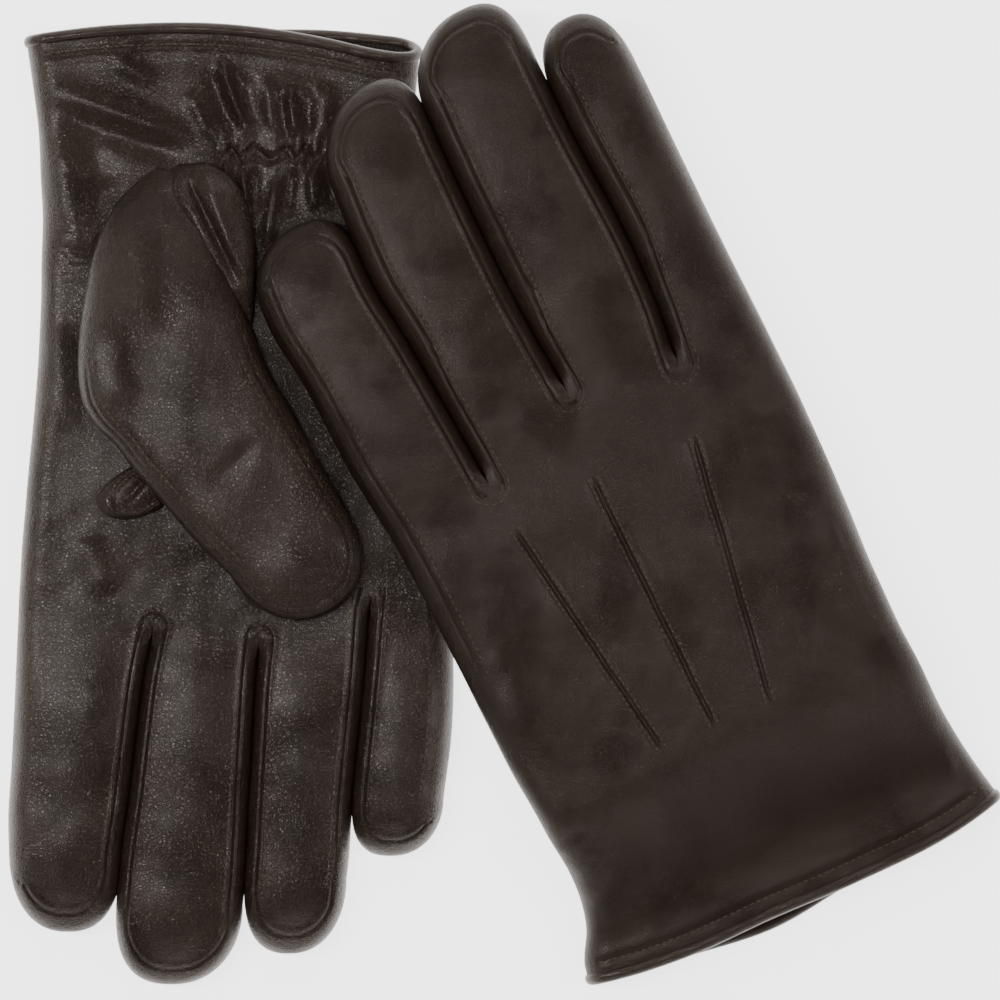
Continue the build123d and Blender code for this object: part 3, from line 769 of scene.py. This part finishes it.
def fingerShape(side, name, v):
    # Everything about a finger's sections at these v: edges, half-height, how far each side is joined, and how far
    # along the tip each one is.
    glove, number = gloves[side], fingerNames.index(name)
    tipFrom, tipTo, tipU = glove["tips"][name]
    v = np.asarray(v, float)
    low, high = fingerEdges(side, name, np.minimum(v, tipFrom))
    along = np.clip((v - tipFrom) / (tipTo - tipFrom), 0, 1)
    middle = (low + high) / 2
    middle = middle + (tipU - middle) * along**1.6
    width = (high - low) / 2
    cap = (1 - along ** fingers["capPower"]) ** (1 / fingers["capPower"])
    half = gloveHeight / 2 * (1 - along**2.6) ** 0.5
    joined = []
    for slot in (number - 1, number):
        if 0 <= slot <= 2:
            joined.append(1 - smooth((v - glove["forks"][slot] + 0.5) / 8.0))
        else:
            joined.append(np.zeros(v.shape))
    return middle - width * cap, middle + width * cap, half, joined, along, width


def fingerReach(name):
    # How far each side's rounding reaches across: fuller on the hand's outer edges.
    return 6.5 if name == "little" else 4.8, 6.5 if name == "index" else 4.8


def seamPlace(side, onHigh, v):
    # How far a seam runs from its slot: on one side of the left glove's fingers it moves further off.
    if side == "right":
        return np.full(np.broadcast(onHigh, v).shape, seamIn[side])
    widening = smooth((v - fingers["wideFrom"]) / fingers["wideOver"])
    return np.where(onHigh, seamIn[side], seamIn[side] + (wideSeam - seamIn[side]) * widening)


def fingerRelief(side, name, u, v, low, high, width, along):
    # Relief of a finger's upper face: the glove's own, a crown along it, and the seams beside slots and tip.
    number = fingerNames.index(name)
    middle = (low + high) / 2
    off = np.abs(u - middle)
    started = smooth((v - gloves[side]["split"]) / 36.0)
    arch = 1 - np.clip(off / np.maximum(width, 1), 0, 1) ** 2
    crown = fingers["crown"][side] * started * arch * (1 - along**2)
    power = fingers["capPower"]
    rho = ((np.clip(off / width, 0, 2)) ** power + along**power) ** (1 / power)
    tipDistance = (1 - rho) * width
    slotSide = np.where(u > middle, number < 3, number > 0)
    beside = slotDistance(side, u, v)
    onTip = smooth(along / 0.45)
    distance = beside * (1 - onTip) + tipDistance * onTip
    strength = np.where(slotSide, 1.0, smooth((along - 0.02) / 0.2))
    height = topRelief(side, u, v) * (1 - 0.4 * started) + crown
    height = height + fingers["ripple"] * started * softness(u, v, 60 + number, 8, 18)
    inward = seamPlace(side, u > middle, v)
    inward = inward * (1 - onTip) + seamIn[side] * onTip
    return height + strength * seamRelief(distance - inward)


def fingerSkin(side, name):
    tipFrom, tipTo, tipU = gloves[side]["tips"][name]
    straight = np.arange(gloves[side]["split"], tipFrom, 0.62)
    tip = tipFrom + (tipTo - tipFrom) * np.sin(np.linspace(0, pi / 2 - 0.09, 34))
    rows = np.concatenate([straight, tip])
    low, high, half, joined, along, width = fingerShape(side, name, rows)
    count = int((high[0] - low[0] - 10) / 0.5)
    plan = ringPlan(count, 16)
    reach = [np.full(rows.shape, part) for part in fingerReach(name)]
    u, z = sectionPoints(low, high, middleHeight(side, rows), half, reach, joined, plan)
    facing = plan[1][None, :]
    v = np.repeat(rows[:, None], u.shape[1], axis=1)
    rise = fingerRelief(side, name, u, v, low[:, None], high[:, None], width[:, None], along[:, None])
    upward = np.clip(np.cos(facing), 0, 1)
    # joined sides stay put, so that neighbouring fingers meet along the slot's line, and rise as the top face does
    keep = np.where(facing > pi, joined[0][:, None], joined[1][:, None]) * (np.abs(np.sin(facing)) > 1e-6)
    lift = np.maximum(upward, keep * (np.cos(facing) > np.cos(0.3 * pi) - 1e-6))
    z = z + rise * lift * (1 - 0.55 * along[:, None] ** 4)
    z = z + 0.5 * np.clip(-np.cos(facing), 0, 1) * (1 - along[:, None])
    u = u + rise * np.sin(facing) * upward * (1 - keep)
    rings = np.stack([u, v, z], axis=-1)
    end = (tipU, tipTo, float(middleHeight(side, tipTo)))
    piece = ringPiece(f"{side}{name.capitalize()}Skin", side, rings, leather[side], end)
    strips = "fourchettes" if name in ("middle", "ring") else "fourchette"
    bendAtKnuckle(piece, side, name)
    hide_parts(f"{side}_{name}_leather", f"{side}_{name}_{strips}", f"{side}_{name}_lining")


def bendAtKnuckle(piece, side, name):
    # Works out the middle of the finger at each end of the knuckle, which is not used, and bakes the piece's place into
    # its mesh: the leather is not bent.
    for v in fingers["bend"]:
        low, high = fingerEdges(side, name, v)
        laid(side, np.array([(low + high) / 2, v, float(middleHeight(side, v))])).tolist()
    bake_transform(piece)


def besideSlot(side, name, onHigh, distance, v):
    # A line on a finger's upper face at this distance from its edge.
    low, high, half, joined, along, width = fingerShape(side, name, v)
    reach = fingerReach(name)[1 if onHigh else 0]
    distance = distance + np.zeros(v.shape)
    turn = np.arcsin(np.clip(1 - distance / reach, 0, 1))
    keep = joined[1 if onHigh else 0]
    out = reach * (np.sin(turn) * (1 - keep) + np.minimum(turn / pi / 0.3, 1) * keep)
    u = high - reach + out if onHigh else low + reach - out
    flat = np.maximum(distance - reach, 0)
    u = u - flat if onHigh else u + flat
    rise = fingerRelief(side, name, u, v, low, high, width, along)
    z = middleHeight(side, v) + half * (np.cos(turn) * (1 - keep) + keep) + rise * np.cos(turn) - 0.04
    sign = 1 if onHigh else -1
    facing = np.stack([sign * np.sin(turn) * (1 - keep), np.zeros(v.shape), np.cos(turn) + keep], axis=-1)
    return np.stack([u, v, z], axis=-1), facing


def fingerStitches(side, name):
    # Stitches beside each slot, above and below, from its end to the fingertip.
    number = fingerNames.index(name)
    tipFrom = gloves[side]["tips"][name][0]
    rows = []
    for slot, onHigh in ((number - 1, False), (number, True)):
        if not 0 <= slot <= 2:
            continue
        v = np.linspace(gloves[side]["forks"][slot] + 0.5, tipFrom + 2, 200)
        line, facing = besideSlot(side, name, onHigh, seamPlace(side, onHigh, v) + stitchIn, v)
        rows.append((line, facing))
        below = line.copy()
        below[:, 2] = middleHeight(side, v) - gloveHeight / 2 + 0.55
        rows.append((below, facing * np.array([0.0, 0.0, -1.0])))
    if name == "little":
        v = np.linspace(gloves[side]["split"] + 1, tipFrom, 150)
        rows.append(besideSlot(side, name, False, edgeSeam["in"] + edgeSeam["stitchOff"], v))
    piece = stitchPiece(f"{side}{name.capitalize()}Stitches", side, rows, thread)
    bendAtKnuckle(piece, side, name)
    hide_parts(f"{side}_{name}_stitching")


def forkStitches(side):
    # The arch of stitches round each slot's end.
    rows = []
    for knots, fork in zip(gloves[side]["slots"], gloves[side]["forks"]):
        turn = np.linspace(pi, 2 * pi, 60)
        radius = seamIn[side] + stitchIn
        u, v = curve(fork, knots) + radius * np.cos(turn), fork + radius * np.sin(turn)
        z = middleHeight(side, v) + gloveHeight / 2 + topRelief(side, u, v) - 0.04
        rows.append((np.stack([u, v, z], axis=-1), np.tile((0.0, 0.0, 1.0), (60, 1))))
    piece = stitchPiece(f"{side}ForkStitches", side, rows, thread)
    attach(piece, f"{side}_hand")


# Thumb, in a frame of its own on each glove: across it from the edge over the palm, and along it to its tip
thumb = {
    "at": (27.0, 14.5), "turn": 28.2, "over": 0.45,  # over the palm
    "leftPivot": (34.0, 72.0), "leftLay": 8.0, "leftBase": 10.2,
    "tipFrom": 124.0, "tipTo": 143.9, "tipHalf": 17.1, "tipPower": 2.2, "stitchIn": 4.9,
    "right": {
        "start": 21.5,
        "near": [(21.5, 0.8), (23.5, -1.4), (25.5, -2.2), (38.5, -3.4), (50.9, -2.4), (64.6, -1.4), (80.7, 0.7),
                 (94.2, 0.4), (111.7, 0.3), (124, 0.0)],
        "far": [(21.5, 4.0), (22.9, 10.3), (26.5, 17.8), (32.1, 24.9), (40.9, 32.3), (51, 39.8), (60.9, 45.1),
                (67.3, 47.0), (73.1, 46.7), (79.7, 44.7), (87, 43.5), (98.4, 41.0), (110.8, 38.2), (124, 34.2)],
        "rise": [(21.5, 0.9), (25, 3.0), (31, 5.4), (40, 7.8), (52, 9.6), (66, 10.0), (124, 9.6)],
    },
    "left": {
        "start": 46.0,
        "near": [(46, 12.0), (48, 8.0), (52, 4.0), (58, 1.0), (68, -0.8), (80.7, 0.7), (94.2, 0.4), (111.7, 0.3),
                 (124, 0.0)],
        "far": [(46, 20.0), (48, 26.0), (52, 32.0), (58, 38.5), (67.3, 45.5), (73.1, 46.2), (79.7, 44.7), (87, 43.5),
                (98.4, 41.0), (110.8, 38.2), (124, 34.2)],
        "rise": [(46, 3.0), (50, 6.0), (58, 8.6), (68, 9.8), (124, 9.6)],
    },
    "folds": [  # from, to, half-width and height: where it turns in from the palm, and over its middle joint
        ((6, 30), (20, 62), 4.0, -0.7), ((30, 50), (40, 74), 4.0, 0.7), ((10, 96), (30, 102), 2.4, -0.35),
    ],
}


def thumbPoints(side, across, along, height):
    # From the thumb's frame to the glove's: over the right palm, and upside down beneath the left one.
    angle = radians(thumb["turn"])
    u = thumb["at"][0] + across * cos(angle) - along * sin(angle)
    v = thumb["at"][1] + across * sin(angle) + along * cos(angle)
    if side == "right":
        return np.stack([u, v, gloveHeight + thumb["over"] + height], axis=-1)
    lay, pivot = radians(-thumb["leftLay"]), thumb["leftPivot"]
    du, dv = u - pivot[0], v - pivot[1]
    u, v = pivot[0] + du * cos(lay) - dv * sin(lay), pivot[1] + du * sin(lay) + dv * cos(lay)
    # flat where it lies on the table
    return np.stack([u, v, np.maximum(thumb["leftBase"] - height, tableClear)], axis=-1)


def pillow(name, side, rows, near, far, rise, reach, material, relief=None, base=0.0, counts=(60, 20, 26)):
    # A closed flattened tube in the thumb's frame, level beneath and rounded at its sides.
    plan = ringPlan(*counts)
    half = np.maximum(rise, 0.1) / 2
    free = np.zeros(rows.shape)
    reach = [np.full(rows.shape, part) for part in reach]
    across, z = sectionPoints(near, far, base + half, half, reach, (free, free), plan)
    along = np.repeat(rows[:, None], across.shape[1], axis=1)
    if relief is not None:
        lift = relief(across, along, near[:, None], far[:, None])
        upward = np.clip(np.cos(plan[1]), 0, 1)
        z = z + lift * upward
        across = across + lift * 0.6 * np.sin(plan[1]) * (np.cos(plan[1]) > 0)
    return ringPiece(name, side, thumbPoints(side, across, along, z), material)


def thumbSkin(side):
    # A pillow from the thumb's base to a rounded cap, with a crown, its folds and the seam's groove on its top.
    shape, tipFrom, tipTo, power = thumb[side], thumb["tipFrom"], thumb["tipTo"], thumb["tipPower"]
    start = shape["start"]
    tip = tipFrom + (tipTo - tipFrom) * np.sin(np.linspace(0, pi / 2 - 0.09, 32))
    rows = np.concatenate([start + np.linspace(0, 1, 12) ** 1.8 * 4, np.arange(start + 4.6, tipFrom, 0.62), tip])
    near, far = curve(rows, shape["near"]), curve(rows, shape["far"])
    end = np.clip((rows - tipFrom) / (tipTo - tipFrom), 0, 1)
    cap = (1 - end**power) ** (1 / power)
    middle, width = (near + far) / 2 - 0.8 * end, (far - near) / 2
    near, far = middle - width * cap, middle + width * cap
    full = curve(rows, shape["rise"])
    rise = full * (1 - end**2.6) ** 0.5
    bottom = (full - rise) * 0.5

    def relief(across, along, nearEdge, farEdge):
        middle = (nearEdge + farEdge) / 2
        ended = np.clip((along - tipFrom) / (tipTo - tipFrom), 0, 1)
        off = np.abs(across - middle)
        half = np.maximum((farEdge - nearEdge) / 2, 0.5)
        rho = (np.clip(off / thumb["tipHalf"], 0, 2) ** power + ended**power) ** (1 / power)
        distance = np.where(ended > 0, (1 - rho) * thumb["tipHalf"], half - off)
        farSeam = smooth((along - 56) / 8) * smooth((92 - along) / 6) + smooth((along - 104) / 10)
        strength = np.where(across < middle, smooth((along - 66) / 12), farSeam)
        strength = np.maximum(np.clip(strength, 0, 1), smooth((ended - 0.02) / 0.2))
        height = 0.9 * (1 - np.clip(off / half, 0, 1) ** 2) * smooth((along - 30) / 30)
        height = height + 0.35 * softness(across, along, 52, 18, 42) + 0.05 * softness(across, along, 53, 5, 12)
        for foldFrom, foldTo, foldWidth, depth in thumb["folds"]:
            line, share = nearLine(across, along, foldFrom, foldTo)
            height = height + depth * bump(line, foldWidth) * smooth(share / 0.3) * smooth((1 - share) / 0.3)
        groove = 0.2 * bump(distance - 3.4, 0.5) - 0.42 * bump(distance - 2.7, 0.38)
        return height * smooth((along - start) / 10) + strength * groove

    piece = pillow(f"{side}ThumbSkin", side, rows, near, far, rise, (6.5, 7.5), leather[side], relief, bottom,
                   (74, 24, 34))
    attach(piece, f"{side}_thumb")
    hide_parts(f"{side}_thumb_leather", f"{side}_thumb_lining")
    if side == "right":
        thumbFold()
    thumbStitches(side)
    thumbQuirk(side)


fold = {
    "near": [(23.4, -4.5), (25.7, -9.8), (29.7, -13.3), (36.1, -15.3), (40.9, -15.1), (53.6, -10.7), (63.0, -5.3),
             (68.6, -1.8)],
    "far": [(23.4, -2.0), (29.7, 1.0), (38.5, 1.2), (50.9, 1.4), (64.6, 0.6), (68.6, -0.6)],
    "rise": [(23.4, 1.0), (27, 4.6), (33, 6.8), (42, 7.8), (54, 7.4), (63, 6.0), (68.6, 2.5)],
    "ridge": ((-9.5, 27), (-4.0, 62), 1.8, 0.9), "valley": ((-4.6, 27), (-3.4, 60), 1.2, -1.5),
}


def thumbFold():
    # Beside the right thumb's base, the leather doubles over in a shiny crescent-shaped roll.
    rows = np.concatenate([23.4 + np.linspace(0, 1, 12) ** 1.8 * 3, np.arange(27.0, 66.0, 0.6),
                           66 + 2.6 * np.sin(np.linspace(0, pi / 2 - 0.1, 10))])
    near, far, rise = (curve(rows, fold[key]) for key in ("near", "far", "rise"))

    def relief(across, along, nearEdge, farEdge):
        height = 0.22 * softness(across, along, 57, 4, 10)
        for foldFrom, foldTo, foldWidth, depth in (fold["ridge"], fold["valley"]):
            line, share = nearLine(across, along, foldFrom, foldTo)
            height = height + depth * bump(line, foldWidth) * smooth(share / 0.2) * smooth((1 - share) / 0.3)
        return height

    piece = pillow("rightThumbFold", "right", rows, near, far, rise, (5.5, 3.0), leather["right"], relief, 0.0,
                   (44, 16, 22))
    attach(piece, "right_thumb")


def thumbStitches(side):
    # One row along the thumb's outer edge and one by the edge that lies over the palm.
    rows = []
    upward = 1.0 if side == "right" else -1.0
    distance = thumb["stitchIn"]
    for edge, spanStart, spanEnd, inward, reach in (("far", 58, 122, -1, 7.5), ("near", 74, 124, 1, 6.5)):
        along = np.linspace(spanStart, spanEnd, 160)
        turn = np.arcsin(1 - distance / reach)
        across = curve(along, thumb[side][edge]) + inward * distance
        rise = curve(along, thumb[side]["rise"])
        height = rise / 2 + rise / 2 * cos(turn) + 0.42
        rows.append((thumbPoints(side, across, along, height), np.tile((0.0, 0.0, upward), (160, 1))))
    piece = stitchPiece(f"{side}ThumbStitches", side, rows, thread)
    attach(piece, f"{side}_thumb")
    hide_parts(f"{side}_thumb_stitching")


quirk = {
    "middle": 93.2, "half": 6.6, "near": 42.5, "backward": 3.0, "forward": 13.6, "rise": 3.6,
    "rim": 0.5, "rimDip": 0.22, "fold": ((41.0, 90.6), (50.5, 94.6), 1.1, 0.8),
}


def thumbQuirk(side):
    # The small gusset that shows beside the thumb: a flat lobe with a turned rim and one fold.
    turn = np.sin(np.linspace(-pi / 2 + 0.12, pi / 2 - 0.12, 60))
    rows = quirk["middle"] + quirk["half"] * turn
    bulge = (1 - np.abs(turn) ** 2.2) ** (1 / 2.2)
    near = quirk["near"] - quirk["backward"] * bulge
    far = quirk["near"] + quirk["forward"] * bulge * (1 - 0.12 * (rows - 93) / 7)
    rise = quirk["rise"] * bulge**0.7

    def relief(across, along, nearEdge, farEdge):
        edge = np.hypot((across - 44.0) / 11.0, (along - quirk["middle"]) / quirk["half"])
        foldFrom, foldTo, foldWidth, depth = quirk["fold"]
        line, share = nearLine(across, along, foldFrom, foldTo)
        rim = quirk["rim"] * bump(edge - 0.86, 0.1) - quirk["rimDip"] * bump(edge - 0.68, 0.07)
        return rim - depth * bump(line, foldWidth) * smooth((1 - share) / 0.4)

    piece = pillow(f"{side}ThumbQuirk", side, rows, near, far, rise, (2.0, 2.6), leather[side], relief, 0.0,
                   (34, 10, 18))
    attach(piece, f"{side}_thumb")
    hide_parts(f"{side}_thumb_quirk")


for side in gloves:
    handSkin(side)
    cuffLining(side)
    cuffRoll(side)
    cuffStitches(side)
    backPoints(side)
    sideSeam(side)
    for name in fingerNames:
        fingerSkin(side, name)
        fingerStitches(side, name)
    forkStitches(side)
    thumbSkin(side)
    print(side, "glove made")


# Table, light and camera
softboxes = {  # place in metres, width and length, and watts
    "leftSoftbox": ((-0.60, 0.12, 1.3), (0.14, 1.0), 14),
    "rightSoftbox": ((0.80, -0.05, 1.2), (0.12, 0.9), 6),
    "backSoftbox": ((0.1, 1.15, 0.95), (1.2, 0.5), 7),
    "frontSoftbox": ((0.0, -1.3, 1.1), (1.2, 0.5), 4),
}
for name, (place, size, power) in softboxes.items():
    lamp = bpy.data.lights.new(name, "AREA")
    lamp.shape, lamp.size, lamp.size_y, lamp.energy = "RECTANGLE", size[0], size[1], power
    holder = bpy.data.objects.new(name, lamp)
    holder.location = place
    holder.rotation_euler = (-Vector(place)).to_track_quat("-Z", "Y").to_euler()  # aimed at the gloves
    bpy.context.scene.collection.objects.link(holder)

floorSurface = Surface("floorMaterial", Base_Color=(0.93, 0.93, 0.93, 1), Roughness=0.8, Specular_IOR_Level=0.2,
                       Emission_Color=(1, 1, 1, 1), Emission_Strength=2.8)
floorMesh = bpy.data.meshes.new("floor")
floorMesh.from_pydata([(-3, -3, 0), (3, -3, 0), (3, 3, 0), (-3, 3, 0)], [], [(0, 1, 2, 3)])
floorMesh.materials.append(floorSurface.material)
floor = bpy.data.objects.new("floor", floorMesh)
floor.location.z = -0.0002
bpy.context.scene.collection.objects.link(floor)

world = bpy.data.worlds.new("studio")
world.use_nodes = True
world.node_tree.nodes["Background"].inputs["Color"].default_value = (1, 1, 1, 1)
world.node_tree.nodes["Background"].inputs["Strength"].default_value = 0.04
bpy.context.scene.world = world

viewWidth, cameraHeight = 0.26, 1.6
lens = bpy.data.cameras.new("camera")
lens.lens = lens.sensor_width * cameraHeight / viewWidth
lens.clip_start, lens.clip_end = 0.01, 20
camera = bpy.data.objects.new("camera", lens)
camera.location = (0, 0, cameraHeight + 0.012)
bpy.context.scene.collection.objects.link(camera)
bpy.context.scene.camera = camera
